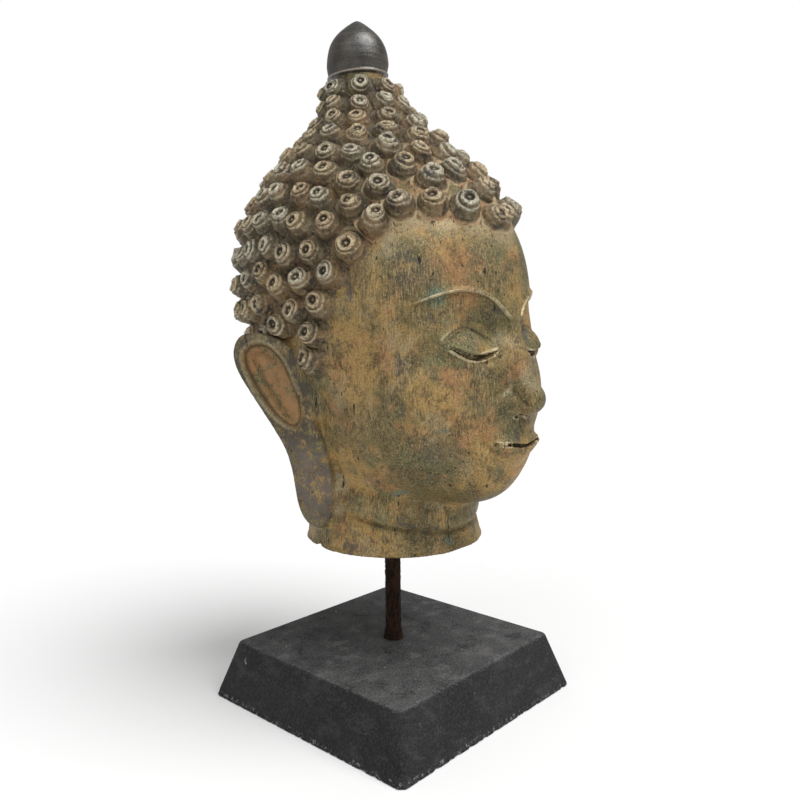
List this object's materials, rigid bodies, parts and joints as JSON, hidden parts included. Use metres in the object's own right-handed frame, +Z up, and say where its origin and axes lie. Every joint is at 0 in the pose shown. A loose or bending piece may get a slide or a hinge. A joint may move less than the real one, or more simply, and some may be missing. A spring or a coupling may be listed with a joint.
{
  "type": "buddha head statue",
  "caption": "Bronze head with curled hair, a tall crown and long ear lobes, held by a slim rod above a square tapered plinth.",
  "frame": {"origin": "middle of the underside of the plinth", "axes": "+Z up, the face looks along -Y, +X to the head's left ear"},
  "size_m": [0.2009, 0.249, 0.4654],
  "materials": {
    "base": "matt charcoal paint, worn at the edges",
    "rod": "dark brown rust",
    "bronze": "aged bronze, olive brown patina with green and black spots"
  },
  "bodies": {
    "root": {"base": "base", "rod": "rod", "head": "bronze"}
  },
  "joints": []
}
